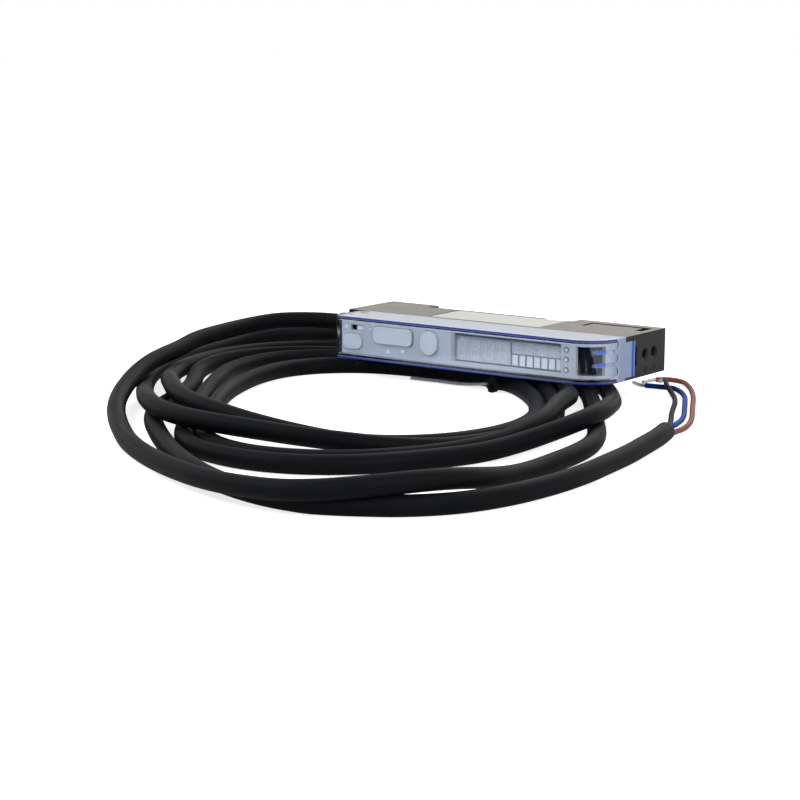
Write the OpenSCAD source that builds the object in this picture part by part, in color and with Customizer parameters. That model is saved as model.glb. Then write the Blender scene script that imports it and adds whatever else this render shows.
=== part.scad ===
// Fibre optic sensor amplifier for a 35 mm rail, lying on its coiled lead.
// The origin is the middle of the rail seat. +X points to the fibre end, -Y to the
// control face and +Z to the labelled side. Lengths are in millimetres.

/* [Housing] */
// Length of the housing, from the cable end to the fibre end
body_l = 77; // [75:1:90]
// Thickness of the housing, along the rail
body_t = 10; // [9.6:0.1:12]
// Depth from the front of the clear cover to the rail seat
seat_depth = 26.5; // [25.5:0.5:30]
// Depth of the rail hooks behind the seat
hook_depth = 3.5; // [3.3:0.1:4.5]
// Distance from the rail's centre to the fibre end
face_off = 46; // [45:0.5:52]
// Wall of the housing
wall = 1.1; // [0.9:0.1:1.2]
// Thickness of the side cover
side_t = 1; // [0.8:0.1:1.2]
// How far the housing runs past the clear cover at the cable end
tail_step = 4; // [3:0.5:6]

/* [Clear cover] */
// Depth of the clear cover
cover_depth = 11.2; // [10.8:0.1:12]
// Wall of the clear cover
cover_w = 0.9; // [0.7:0.1:1]
// Radius of the cover's corner at the fibre end
corner_r = 8; // [7.5:0.1:8.5]
// Radius of the cover's corner at the cable end
tail_r = 1.5; // [1:0.1:2]
// Radius of the cover's hinge eyes
hinge_r = 2.5; // [2.2:0.1:2.8]
// Diameter of the hinge pegs
peg_d = 2; // [1.6:0.1:2.4]
// Length of the tab that laps over the fibre end
tab_l = 3.8; // [3:0.1:4.2]

/* [Control panel] */
// Distance from the cover's front to the panel's face
panel_in = 1.8; // [1.7:0.1:2.2]
// Thickness of the panel
panel_t = 1; // [0.8:0.1:1.2]
// How far the buttons stand proud of the panel
button_h = 0.5; // [0.2:0.1:0.5]
// Travel of the push buttons
button_travel = 0.4; // [0.2:0.1:0.4]
// Width of the mode button
mode_w = 5.4; // [4.6:0.1:5.6]
// Height of the mode button
mode_h = 3.6; // [3:0.1:3.7]
// Width of the value rocker
rocker_w = 11; // [9:0.1:11.4]
// Height of the value rocker
rocker_h = 4; // [3:0.1:4.2]
// Width of the oval set button
set_w = 4.8; // [4:0.1:5.2]
// Height of the oval set button
set_h = 5.7; // [5:0.1:5.9]
// Travel of the slide switch's knob
slide_travel = 1.6; // [1:0.1:1.7]
// Height of the display window
window_h = 6.6; // [6.2:0.1:6.8]
// Number of light bars
bars = 7; // [5:1:7]
// Pitch of the light bars
bar_pitch = 1.95; // [1.7:0.05:2]
// Width of a light bar
bar_w = 1.45; // [1:0.05:1.5]
// Diameter of the signal lamps
lamp_d = 1.3; // [1:0.1:1.4]

/* [Fibre ports] */
// Diameter of the fibre bores
fibre_d = 2.3; // [2.2:0.05:2.4]
// Distance between the two fibre bores
fibre_pitch = 4.3; // [4.1:0.1:4.6]
// Distance from the rail seat to the nearer bore
fibre_in = 1.8; // [1.7:0.1:2]
// Length of the bores in the housing
fibre_l = 8.8; // [8:0.1:9.4]
// Diameter of the countersunk mouths
mouth_d = 3.1; // [2.8:0.1:3.4]
// Travel of the clamp that grips the fibres
clamp_travel = 0.5; // [0.3:0.1:0.5]
// How far the lock lever turns, in degrees
lever_turn = 80; // [60:5:80]

/* [Rail grip] */
// Width of the rail that the housing clips on
rail_w = 35; // [35:0.1:35.2]
// Thickness of the rail's flange
rail_t = 1; // [1:0.1:1.1]
// How far each hook reaches behind the flange
hook_lap = 1; // [0.8:0.1:1.2]
// Travel of the sprung rail latch
latch_travel = 2; // [1.6:0.1:2]

/* [Lead] */
// Diameter of the lead's jacket
cable_d = 4; // [3.8:0.1:4.2]
// Diameter of a conductor over its insulation
wire_d = 1.2; // [1:0.1:1.3]
// Length of the strain relief outside the housing
relief_l = 9; // [8:0.5:9]
// Width of the tie's strip
tie_w = 4.5; // [3:0.5:5]

/* [Hidden] */
$fn = 48;
eps = 0.01;

// Clearances
fit = 0.05;
slip = 0.1;
guide = 0.2;

// Planes of the housing
top = body_t / 2;
face_x = face_off;
tail_x = face_x - body_l;
front_y = -seat_depth;
side_z = -top + side_t;
skin_z = top - wall;
shoulder_y = front_y + cover_depth + slip;

// The clear cover and its hinge
cover_x = tail_x + tail_step;
cover_y = front_y + cover_depth;
cover_in_z = top - cover_w;
hinge_x = cover_x + hinge_r;
hinge_y = cover_y - hinge_r;
corner_x = face_x - corner_r;
corner_y = front_y + corner_r;
tab_z0 = -top + 0.6;
tab_z1 = top - 1.2;
notch_h = 4.4;
notch_l = 1.3;
lip_h = 0.3;

// The narrow front of the housing, which the cover wraps
nose_z = cover_in_z - slip;
nose_w = 0.9;
nose_in = nose_z - nose_w;
nose_x = hinge_x - 1.5;
panel_y = front_y + panel_in;
panel_back = panel_y + panel_t;
nose_y = panel_back + fit;
panel_r = corner_r - panel_in;
nose_r = panel_r - panel_t - fit;
nose_end = face_x - cover_w - 0.3;
panel_end_y = shoulder_y - 1;

// The label on the upper flat side
label_x0 = -8.5;
label_x1 = 22;
label_y0 = shoulder_y + 1.6;
label_y1 = -0.4;

// The controls, laid out from the cable end
mode_x = cover_x + 4.4;
mode_z = -1;
slide_x = cover_x + 6.4;
slide_z = 2.35;
slide_w = 1.8;
slide_h = 1;
rocker_x = mode_x + 11.6;
rocker_z = 1.15;
set_x = rocker_x + 10.3;
set_z = 0.55;
board_y = panel_y + 5.3;
board_t = 1;
switch_top = board_y - 1.8;
button_back = panel_back + 0.6;
plunger_y = button_back + button_travel + fit;
rocker_gap = 0.35;
rock_r = 0.6;
// Width of a push switch, and how far the rocker's two stand from its middle
push_w = 3.2;
push_in = 3.2;

// The display, laid out from the fibre end
lever_r = nose_r - 0.15;
lamp_x = corner_x - 1.75;
lamp_zs = [-2.2, 0.2, 2.4];
window_x1 = lamp_x - 1.35;
window_x0 = set_x + 6.1;
window_z = 0.3;
bars_l = (bars - 1) * bar_pitch + bar_w;
bars_x = window_x1 - 0.1 - bars_l;
bar_z0 = -2.6;
bar_h = 2.4;
display_z1 = nose_in - 0.2;

// The fibre block, the clamp and the lock lever
block_x = face_x - fibre_l;
clamp_t = 2;
clamp_x0 = block_x - guide - clamp_t;
holder_x1 = clamp_x0 - guide;
holder_l = 7.6;
holder_x0 = holder_x1 - holder_l;
bore_ys = [-fibre_in - fibre_pitch, -fibre_in];
block_y = bore_ys[0] - 3;
latch_z0 = 2.45;
under_latch = latch_z0 - 0.15;
hub_r = 1.95;
cam_gap = 0.15;
pin_d = 1.6;
clamp_top = corner_y + hub_r + cam_gap;
// How far the clamp's bar runs past the cam's centre, clear of the lever's web
clamp_reach = 0.5;

// The rail grip
grip_gap = 0.2;
rail_gap = 0.25;
seat_x0 = -rail_w / 2 - grip_gap;
latch_x = rail_w / 2 + grip_gap;
latch_room = 3.6 + latch_travel;
seat_x1 = latch_x + latch_room;
hook_wall = 1.2;
lip_x = rail_w / 2 - hook_lap;
seat_step = 0.3;
pad_x = lip_x - 0.5;
channel_x0 = seat_x1 - 1;
slot_x0 = face_x - 17.7;
slot_x1 = face_x - 1.7;
slot_y0 = -4.9;
slot_y1 = 0.5;
rib_x = holder_x1 - 1.4;
latch_l = 2.7;

// The spring between the latch and its stop
spring_x0 = seat_x1 + latch_l + fit;
spring_x1 = rib_x - fit;
spring_r = 0.7;
spring_wire = 0.3;

// The main board
main_x0 = tail_x + 3.2;
main_x1 = holder_x0 - 0.5;
main_y0 = shoulder_y + 1.6;
main_y1 = -wall - 0.5;
main_z = -1.5;
post_r = 1.1;
post_xs = [main_x0 + 6, channel_x0 - post_r - 0.4];
post_ys = [main_y0 + 1.6, main_y1 - 1.6];
boss_r = 1.5;
boss_xs = [tail_x + wall + 1.9, main_x1 - 1.2];
boss_y = shoulder_y + wall + 1;
chip_in = 3;
chip_t = 1.1;
can_d = 3.6;
can_h = 3.2;
// Place along the board, length and width of each chip
chips = [[0.28, 7, 7], [0.5, 5, 4], [0.68, 4, 5]];

// The floor, which carries the coil, and the coil's height
tie_t = 0.45;
tie_end = 7;
floor_z = -top - 5.2;
lead_z = floor_z + cable_d / 2;
wire_z = floor_z + wire_d / 2;
coil_top = floor_z + cable_d + 0.45;
groove = 0.7;
tie_x = 13;
tie_y0 = -17.4;
tie_y1 = 9.4;
relief_y = -6;
relief_x = tail_x - relief_l;

// The lead from the strain relief down to the coil
LEAD = [[relief_x - fit, relief_y, 0], [relief_x - 1.5, relief_y, 0], [relief_x - 5, -6.4, 0],
        [-50, -9, 0], [-54, -14, 0],
        [-56.5, -22, -0.5], [-57, -32, -1], [-56, -43, -1.5], [-54, -52, -2.5],
        [-52, -60, -3], [-50, -67, -3.6], [-46.5, -76, -4.8], [-40, -88, -6.5],
        [-30, -101, -7.5], [-16, -115, lead_z], [-2, -127, lead_z]];
// The free end, from the coil to the end of the jacket
TAIL = [[46, -146, lead_z], [52, -147, lead_z], [58, -145.5, lead_z], [64, -142.5, lead_z],
        [70, -138.5, lead_z], [76, -131.5, lead_z], [80, -121.5, lead_z],
        [82, -108, lead_z], [82, -96, lead_z], [81, -86, lead_z], [79.5, -74, lead_z],
        [78, -66, lead_z], [76, -56, lead_z], [74, -48.5, lead_z]];
// The three conductors, from the end of the jacket
BROWN = [[75.1, -48.2, -8.6], [74, -43, -9], [72.5, -37, -9.4], [70.5, -31, wire_z],
         [67.5, -24, wire_z], [64, -17, wire_z], [60.5, -10, wire_z], [56.5, -2, wire_z],
         [52, 6, wire_z], [48, 12, wire_z], [44, 16.5, wire_z], [40, 17.5, wire_z],
         [37.5, 15.5, wire_z]];
BLUE = [[73.9, -48.5, -7.2], [73, -43, -7.9], [70.5, -36.5, -8.7], [68, -30, -9.3],
        [65, -23, wire_z], [61.5, -16, wire_z], [58, -9, wire_z], [54, -1.5, wire_z],
        [50, 4, wire_z], [46.5, 7, wire_z], [43, 7, wire_z], [39.5, 6.5, wire_z]];
BLACK = [[72.9, -48.65, -8.6], [71, -43, -9], [68.5, -36.5, -9.4], [65.5, -30, wire_z],
         [62, -23, wire_z], [59, -16.5, wire_z], [56, -10, wire_z], [53, -4.5, wire_z],
         [49.5, 0.5, -9.3], [46.5, 4, -8.5], [44, 8, -8], [42, 11.5, -8.6]];
// The tinned ends of the conductors
TIPS = [tip_path(BROWN, [36.7, 10.5, wire_z]), tip_path(BLUE, [35, 9, wire_z]),
        tip_path(BLACK, [39.5, 13.5, wire_z])];

// The coil's outline, round its outside and round its hole
COIL_OUT = [[-3, -128.85], [10, -137.5], [19, -141.5], [27, -144.5], [36, -147],
            [45.6, -148], [45.6, -144], [50, -141], [56, -135], [63, -127], [68, -118.5],
            [72, -110], [74, -101], [74.5, -89], [72.5, -73], [67.5, -60], [57, -46],
            [50, -28], [43, -14], [37, -4], [30, 3], [20, 8], [5, 9.8], [-40, 9.8],
            [-58, 8.5], [-71, 3], [-74, -9], [-72, -25.5], [-68, -40], [-62, -52],
            [-50, -64], [-40, -78], [-31, -88], [-20, -99], [-11.5, -112], [-3.5, -121.5],
            [-0.35, -125.7]];
COIL_IN = [[-18, -77], [-20, -62], [-25, -58], [-24, -43], [-20, -29], [-11, -18.5],
           [4, -17], [16, -20], [28, -27], [35, -38], [41, -53], [44, -66], [42, -80],
           [34, -89], [20, -93], [4, -93], [-10, -88]];

// A tinned end: straight on from its conductor, then bent to its own end
function tip_path(wire, end) =
    let (last = wire[len(wire) - 1], h = unit(last - wire[len(wire) - 2]))
    [last + fit * h, last + 0.6 * h, end];

// A plate with round corners in the XZ plane, its near face at the given y
module key_plate(x, z, w, h, r, y0, y1) {
    translate([x, y1, z])
        rotate([90, 0, 0])
            linear_extrude(y1 - y0)
                round_rect(w, h, r);
}

module round_rect(w, h, r) {
    square([w - 2 * r, h], center = true);
    square([w, h - 2 * r], center = true);
    for (sx = [-1, 1], sz = [-1, 1])
        translate([sx * (w / 2 - r), sz * (h / 2 - r)])
            circle(r);
}

// A box given by its two corners
module block(a, b) {
    translate(a)
        cube(b - a);
}

// A pie slice of the given radius between two angles, each pair under a half turn
module wedge(r, a0, a1) {
    am = (a0 + a1) / 2;
    far = 2 * r;
    polygon([[0, 0], far * [cos(a0), sin(a0)], far * [cos(am), sin(am)],
             far * [cos(a1), sin(a1)]]);
}

// Places its children at the centre of the cover's round corner
module at_corner() {
    translate([corner_x, corner_y, 0])
        children();
}

// The outline that the cover, the panel and the front of the housing share, shrunk
// by an inset, from the left plane to the round corner and back to the given y
module front_outline(x0, inset, back_y) {
    r = corner_r - inset;
    y0 = front_y + inset;
    translate([x0, y0])
        square([corner_x - x0, back_y - y0]);
    translate([x0, corner_y])
        square([face_x - inset - x0, back_y - corner_y]);
    translate([corner_x, corner_y])
        circle(r, $fn = 96);
}

// The rear part of the housing with its rail recess and fixed hook
module rear_outline() {
    hook_y = rail_t + rail_gap;
    polygon([[tail_x, shoulder_y], [face_x, shoulder_y], [face_x, hook_depth],
             [seat_x1, hook_depth], [seat_x1, -seat_step], [pad_x, -seat_step], [pad_x, 0],
             [-pad_x, 0], [-pad_x, -seat_step], [seat_x0, -seat_step], [seat_x0, hook_y],
             [-lip_x, hook_y + 0.3], [-lip_x, hook_depth - 0.9],
             [seat_x0, hook_depth], [tail_x, hook_depth]]);
}

// The narrow front of the housing, cut back round the cover's hinge
module nose_outline() {
    difference() {
        union() {
            front_outline(nose_x, corner_r - nose_r, shoulder_y + eps);
            translate([corner_x, panel_end_y + fit])
                square([nose_end - corner_x, shoulder_y + eps - panel_end_y - fit]);
        }
        translate([nose_x - 1, hinge_y])
            square([1 + hinge_x - 0.5 - nose_x, 4]);
    }
    translate([hinge_x, hinge_y])
        circle(hinge_x - nose_x);
}

module rear_cavity() {
    polygon([[tail_x + wall, shoulder_y + wall], [face_x - 2.3, shoulder_y + wall],
             [face_x - 2.3, block_y], [block_x, block_y],
             [block_x, hook_depth - hook_wall], [seat_x1 + hook_wall, hook_depth - hook_wall],
             [seat_x1 + hook_wall, -wall], [seat_x0 - hook_wall, -wall],
             [seat_x0 - hook_wall, hook_depth - hook_wall],
             [tail_x + wall, hook_depth - hook_wall]]);
}

module nose_cavity() {
    left = min(nose_x + nose_w, mode_x - mode_w / 2 - guide);
    translate([left, nose_y - 1])
        square([corner_x + 4 - left, hinge_y + 1 - nose_y]);
    translate([hinge_x + hinge_r, nose_y - 1])
        square([corner_x + 4 - hinge_x - hinge_r, shoulder_y + wall + 1 + eps - nose_y]);
    translate([corner_x, nose_y - 1])
        square([face_x - 2.3 - corner_x, shoulder_y + wall + 1 + eps - nose_y]);
}

module main_case() {
    color("dimgray")
    difference() {
        union() {
            difference() {
                union() {
                    translate([0, 0, side_z])
                        linear_extrude(top - side_z)
                            rear_outline();
                    translate([0, 0, -nose_in])
                        linear_extrude(nose_z + nose_in)
                            nose_outline();
                }
                translate([0, 0, -top])
                    linear_extrude(top + skin_z)
                        rear_cavity();
                translate([0, 0, -top])
                    linear_extrude(top + nose_in)
                        nose_cavity();
            }
            // Hinge peg of the upper side
            translate([hinge_x, hinge_y, nose_in])
                cylinder(d = peg_d, h = top - fit - nose_in);
            // Posts that carry the main board
            for (x = post_xs, y = post_ys)
                translate([x, y, main_z + board_t + fit])
                    cylinder(r = post_r, h = top - wall / 2 - main_z - board_t - fit);
            // Bosses for the side cover's pegs
            for (x = boss_xs)
                translate([x, boss_y, side_z])
                    cylinder(r = boss_r, h = top - wall / 2 - side_z);
            // Stop for the latch spring
            block([rib_x, 0.35, side_z], [rib_x + 1, hook_depth - hook_wall / 2, under_latch]);
            // Collar round the lever pin
            at_corner()
                translate([0, 0, nose_in - 0.1])
                    cylinder(r = 1.6, h = nose_w);
        }
        // Fibre bores with countersunk mouths
        for (y = bore_ys)
            translate([block_x - 1, y, 0])
                rotate([0, 90, 0]) {
                    cylinder(d = fibre_d, h = fibre_l + 2);
                    translate([0, 0, fibre_l + 1 - (mouth_d - fibre_d) / 2])
                        cylinder(d1 = fibre_d, d2 = mouth_d + 0.02,
                                 h = (mouth_d - fibre_d) / 2 + eps);
                }
        // Hole for the strain relief
        translate([tail_x - 1, relief_y, 0])
            rotate([0, 90, 0])
                cylinder(d = cable_d + 2.6, h = wall + 2);
        side_rib(fit);
        // Room behind the caps of the set button and the rocker
        key_plate(set_x, set_z, set_w + 2 * guide, set_h + 2 * guide, set_w / 2,
                  nose_y - 1, panel_back + button_travel + guide);
        key_plate(rocker_x, rocker_z, rocker_w + 3 * guide, rocker_h + 2 * guide, 1.3,
                  nose_y - 1, panel_back + button_travel + guide);
        // Pocket and finger notch for the cover's tab
        block([face_x - 1.1, shoulder_y - 1, tab_z0 - slip],
              [face_x + 1, shoulder_y + tab_l, tab_z1 + slip]);
        block([face_x - 1.1, shoulder_y, -notch_h / 2],
              [face_x + 1, shoulder_y + tab_l + notch_l, notch_h / 2]);
        // Channel and slot for the rail latch
        block([channel_x0, slot_y0, under_latch],
              [slot_x1 + 0.2, hook_depth - hook_wall, skin_z]);
        block([slot_x0, slot_y0, under_latch], [slot_x1, slot_y1, top + 1]);
        block([channel_x0, fit, -nose_in - 0.6], [seat_x1 + hook_wall + 1,
              hook_depth - hook_wall, skin_z]);
        // Pocket for the label
        block([label_x0 - slip, label_y0 - slip, top - 0.3],
              [label_x1 + slip, label_y1 + slip, top + 1]);
        // Blind hole for the lever pin
        at_corner()
            translate([0, 0, nose_in - 1])
                cylinder(d = pin_d + 2 * 0.02, h = 1.5);
        // Holes for the side cover's pegs
        for (x = boss_xs)
            translate([x, boss_y, side_z - 1])
                cylinder(d = 1.7, h = 4);
    }
}

// The rib that joins the two plates of the side cover, behind the shoulder
module side_rib(grow) {
    block([hinge_x - 0.5 - grow, shoulder_y - eps, side_z - 0.5],
          [nose_end + grow, shoulder_y + wall + grow, -nose_in + grow]);
}

module side_cover() {
    color("dimgray") {
        difference() {
            union() {
                translate([0, 0, -top])
                    linear_extrude(side_t)
                        rear_outline();
                translate([0, 0, -nose_z])
                    linear_extrude(nose_w)
                        nose_outline();
                side_rib(0);
                // Hinge peg of the lower side
                translate([hinge_x, hinge_y, -top + fit])
                    cylinder(d = peg_d, h = top - fit - nose_in);
                // Pegs
                for (x = boss_xs)
                    translate([x, boss_y, side_z - 0.5])
                        cylinder(d = 1.6, h = 3);
                // Pads under the main board
                for (x = post_xs, y = post_ys)
                    translate([x, y, side_z - 0.5])
                        cylinder(r = post_r, h = main_z - fit - side_z + 0.5);
                // Collar round the lever pin
                at_corner()
                    translate([0, 0, -nose_z])
                        cylinder(r = 1.6, h = nose_w + 0.1);
            }
            at_corner()
                translate([0, 0, -nose_in - 0.5])
                    cylinder(d = pin_d + 2 * 0.02, h = 2);
            block([face_x - 1.1, shoulder_y - 1, tab_z0 - slip],
                  [face_x + 1, shoulder_y + tab_l, tab_z1]);
        }
    }
}

module label_plate() {
    color("whitesmoke")
        block([label_x0, label_y0, top - 0.3 + fit], [label_x1, label_y1, top - 0.1]);
}

// The cover's outline with its two front corners and its hinge eyes
module cover_outline() {
    difference() {
        front_outline(hinge_x, 0, cover_y);
        // Trims the round corner's circle behind the rear edge
        translate([corner_x - corner_r, cover_y])
            square([2 * corner_r + 1, 2 * corner_r]);
    }
    translate([cover_x + tail_r, front_y])
        square([hinge_x - cover_x - tail_r + eps, cover_y - front_y - hinge_r]);
    translate([cover_x, front_y + tail_r])
        square([hinge_x - cover_x + eps, hinge_y - front_y - tail_r]);
    translate([cover_x + tail_r, front_y + tail_r])
        circle(tail_r);
    translate([hinge_x, hinge_y])
        circle(hinge_r);
}

module front_cover() {
    color("lightsteelblue", 0.5)
    difference() {
        union() {
            difference() {
                translate([0, 0, -top])
                    linear_extrude(2 * top)
                        cover_outline();
                translate([0, 0, -cover_in_z])
                    linear_extrude(2 * cover_in_z)
                        front_outline(cover_x + cover_w, cover_w, cover_y + 1);
                // Cuts the end wall back, clear of the housing as the cover opens
                block([cover_x - 1, hinge_y - 1, -cover_in_z],
                      [hinge_x, cover_y + 1, cover_in_z]);
            }
            // Tab over the fibre end, with a lip to lift it by
            block([face_x - cover_w, cover_y - 1, tab_z0], [face_x, cover_y + tab_l, tab_z1]);
            block([face_x - 0.2, cover_y + tab_l - 0.7, tab_z0],
                  [face_x + lip_h, cover_y + tab_l, tab_z1]);
            // Gussets inside the round corner
            at_corner()
                for (z = [-0.8, 2.2])
                    translate([0, 0, z - 0.4])
                        linear_extrude(0.8)
                            intersection() {
                                difference() {
                                    circle(corner_r - cover_w + 0.2);
                                    circle(panel_r + 0.3);
                                }
                                wedge(corner_r, -45, -8);
                            }
        }
        translate([hinge_x, hinge_y, -top - 1])
            cylinder(d = peg_d + 2 * fit, h = body_t + 2);
    }
}

module front_panel() {
    color("lightsteelblue")
    difference() {
        translate([0, 0, -nose_z])
            linear_extrude(2 * nose_z)
                difference() {
                    front_outline(nose_x + slip, panel_in, panel_end_y);
                    front_outline(nose_x, panel_in + panel_t, panel_end_y + 1);
                    translate([corner_x - panel_r - 1, panel_end_y])
                        square([2 * panel_r + 2, panel_r]);
                }
        at_corner()
            translate([0, 0, -3.3])
                linear_extrude(6.6)
                    wedge(panel_r, -84, -22);
        key_plate(mode_x, mode_z, mode_w + 2 * slip, mode_h + 2 * slip, 1.7,
                  panel_y - 1, panel_back + 1);
        key_plate(slide_x - slide_travel / 2, slide_z, slide_w + slide_travel + 2 * guide,
                  slide_h + 0.3, 0.2, panel_y - 1, panel_back + 1);
        key_plate(rocker_x, rocker_z, rocker_w + 2 * rocker_gap, rocker_h + 2 * slip, 1.3,
                  panel_y - 1, panel_back + 1);
        key_plate(set_x, set_z, set_w + 2 * slip, set_h + 2 * slip, set_w / 2,
                  panel_y - 1, panel_back + 1);
        block([window_x0, panel_y - 1, window_z - window_h / 2],
              [window_x1, panel_back + 1, window_z + window_h / 2]);
        for (z = lamp_zs)
            translate([lamp_x, panel_y - 1, z])
                rotate([-90, 0, 0])
                    cylinder(d = lamp_d + slip, h = panel_t + 2);
    }
}

module display_window() {
    color("slategray", 0.6)
        block([window_x0 + fit, panel_y - fit, window_z - window_h / 2 + fit],
              [window_x1 - fit, panel_back - 0.1, window_z + window_h / 2 - fit]);
}

// One figure of seven slanted strokes, w wide and h high, about its centre
module figure_eight(w, h) {
    s = 0.4;
    lean = 0.1;
    multmatrix([[1, lean, 0, 0], [0, 1, 0, 0], [0, 0, 1, 0], [0, 0, 0, 1]]) {
        for (k = [-1, 0, 1])
            translate([0, k * (h - s) / 2])
                square([w - 2.4 * s, s], center = true);
        for (i = [-1, 1], k = [-1, 1])
            translate([i * (w - s) / 2, k * (h - s) / 4])
                square([s, (h - s) / 2 - 1.2 * s], center = true);
    }
}

// A display of four figures, its face just behind the window
module digit_display(x0, x1, z0, z1, w, h) {
    face = panel_back + 0.1;
    pitch = (x1 - x0) / 4;
    block([x0, face, z0], [x1, board_y - fit, z1]);
    for (i = [0 : 3])
        translate([x0 + (i + 0.5) * pitch, face + eps, (z0 + z1) / 2])
            rotate([90, 0, 0])
                linear_extrude(0.1)
                    figure_eight(w, h);
}

module digit_display_left() {
    color("darkslategray")
        digit_display(window_x0 + 0.6, bars_x - 0.6, -2.7, display_z1, 2.3, 4.4);
}

module digit_display_right() {
    color("darkslategray")
        digit_display(bars_x - 0.2, window_x1 - 0.4, bar_z0 + bar_h + 0.3, display_z1, 1.9, 2.3);
}

module bar_guide() {
    color("white") {
        block([bars_x - 0.2, panel_back + 0.7, bar_z0 - 0.2],
              [bars_x + bars_l + 0.1, board_y - fit, bar_z0 + bar_h + 0.1]);
        for (i = [0 : bars - 1])
            block([bars_x + i * bar_pitch, panel_back, bar_z0],
                  [bars_x + i * bar_pitch + bar_w, panel_back + 1, bar_z0 + bar_h]);
    }
}

module lamp_guide() {
    color("white") {
        block([window_x1 + slip, board_y - 2.2, lamp_zs[0] - 0.6],
              [lamp_x - 0.4, board_y - fit, display_z1]);
        for (z = lamp_zs)
            translate([lamp_x, panel_y - 0.1, z])
                rotate([-90, 0, 0])
                    cylinder(d = lamp_d, h = board_y - panel_y - 1);
    }
}

module mode_button() {
    color("lightsteelblue") {
        key_plate(mode_x, mode_z, mode_w, mode_h, 1.6, panel_y - button_h, button_back - 0.5);
        // Ear that keeps the cap behind the panel
        block([mode_x - 1, button_back - 0.51, -nose_in + 0.15],
              [mode_x + 1, button_back, mode_z + mode_h / 2 + 0.5]);
    }
}

module set_button() {
    color("lightsteelblue") {
        key_plate(set_x, set_z, set_w, set_h, set_w / 2 - 0.01, panel_y - button_h, panel_back);
        key_plate(set_x, set_z, set_w - 0.6, set_h - 1.2, 1, panel_back - eps, button_back - 0.5);
        block([set_x - set_w / 2 - 0.5, button_back - 0.51, set_z - 1],
              [set_x + set_w / 2 + 0.5, button_back, set_z + 1]);
    }
}

module value_rocker() {
    color("lightsteelblue") {
        key_plate(rocker_x, rocker_z, rocker_w, rocker_h, 1.2, panel_y - button_h, panel_back);
        key_plate(rocker_x, rocker_z, rocker_w - 1, rocker_h - 0.8, 1, panel_back - eps,
                  button_back - 0.2);
        block([rocker_x - rocker_w / 2 - 0.7, panel_back + 0.35, rocker_z - 0.8],
              [rocker_x + rocker_w / 2 + 0.7, button_back, rocker_z + 0.8]);
        // Fulcrum that stands on the board, its end round about the rocking axis
        block([rocker_x - rock_r, button_back - 0.2, rocker_z - 1.5],
              [rocker_x + rock_r, board_y - fit - rock_r, rocker_z + 1.5]);
        translate([rocker_x, board_y - fit - rock_r, rocker_z - 1.5])
            cylinder(r = rock_r, h = 3);
    }
}

module switch_knob() {
    color("white") {
        block([slide_x - slide_w / 2, panel_y + 0.2, slide_z - slide_h / 2],
              [slide_x + slide_w / 2, board_y - 2.5 - fit, slide_z + slide_h / 2]);
    }
}

module switch_body() {
    color("dimgray")
        block([slide_x - slide_travel / 2 - 2.6, board_y - 2.5, slide_z - 0.75],
              [slide_x - slide_travel / 2 + 2.6, board_y - fit, slide_z + 0.65]);
}

// One push switch on the board, its plunger towards the panel
module push_switch(x, z) {
    s = push_w / 2;
    block([x - s, switch_top, z - s], [x + s, board_y - fit, z + s]);
    translate([x, plunger_y, z])
        rotate([-90, 0, 0])
            cylinder(r = 0.8, h = switch_top - plunger_y + eps);
}

module tact_switches() {
    color("gray") {
        push_switch(mode_x, mode_z);
        push_switch(set_x, set_z);
        push_switch(rocker_x - push_in, rocker_z);
        push_switch(rocker_x + push_in, rocker_z);
    }
}

module panel_board() {
    color("darkgreen")
        block([nose_x + nose_w + 0.5, board_y, -nose_in + guide],
              [lamp_x - 0.7, board_y + board_t, nose_in - guide]);
}

module main_board() {
    color("darkgreen")
    difference() {
        block([main_x0, main_y0, main_z], [main_x1, main_y1, main_z + board_t]);
        for (x = boss_xs)
            translate([x, boss_y, main_z - 1])
                cylinder(r = boss_r + guide, h = board_t + 2);
    }
}

// Chips and capacitors on the main board
module board_parts() {
    z = main_z + board_t + eps;
    run = main_x1 - main_x0;
    color("black") {
        for (c = chips)
            translate([main_x0 + c[0] * run, main_y0 + chip_in, z])
                cube([c[1], c[2], chip_t]);
        for (f = [0.15, 0.24])
            translate([main_x0 + f * run, main_y1 - 6, z])
                cylinder(d = can_d, h = can_h);
    }
}

// Header that joins the two boards
module board_header() {
    header_x = rocker_x + 8;
    pin_z = main_z + board_t + fit;
    color("goldenrod") {
        block([header_x - 5, board_y + board_t + fit, pin_z - 0.6],
              [header_x + 5, board_y + board_t + 2.5, pin_z + 1.4]);
        for (i = [-2 : 2])
            translate([header_x + 2 * i - 0.25, board_y + board_t + 2.4, pin_z])
                cube([0.5, main_y0 + 1.5 - board_y - board_t - 2.4, 0.5]);
    }
}

module optics_holder() {
    color("black")
    difference() {
        block([holder_x0, block_y + 0.2, side_z + fit], [holder_x1, 0.1, under_latch - 0.1]);
        for (y = bore_ys) {
            translate([holder_x0 - 1, y, 0])
                rotate([0, 90, 0])
                    cylinder(d = fibre_d, h = holder_l + 2);
            translate([holder_x0 - 1, y, 0])
                rotate([0, 90, 0])
                    cylinder(d = 3.2, h = 4);
        }
    }
}

// A light source or a light receiver: a round lens on a flanged base
module diode(y) {
    translate([holder_x0 - 0.4, y, 0])
        rotate([0, 90, 0]) {
            cylinder(d = 3, h = 2.2);
            translate([0, 0, 1.4])
                sphere(d = 2.1);
            cylinder(d = 3.4, h = 0.39);
        }
}

module emitter_led() {
    color("crimson")
        diode(bore_ys[0]);
}

module receiver_diode() {
    color("dimgray")
        diode(bore_ys[1]);
}

// The cam's radius grows evenly over the angles that pass the clamp as the lever turns
function cam_r(a) = hub_r + clamp_travel * (90 - a) / lever_turn;

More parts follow.
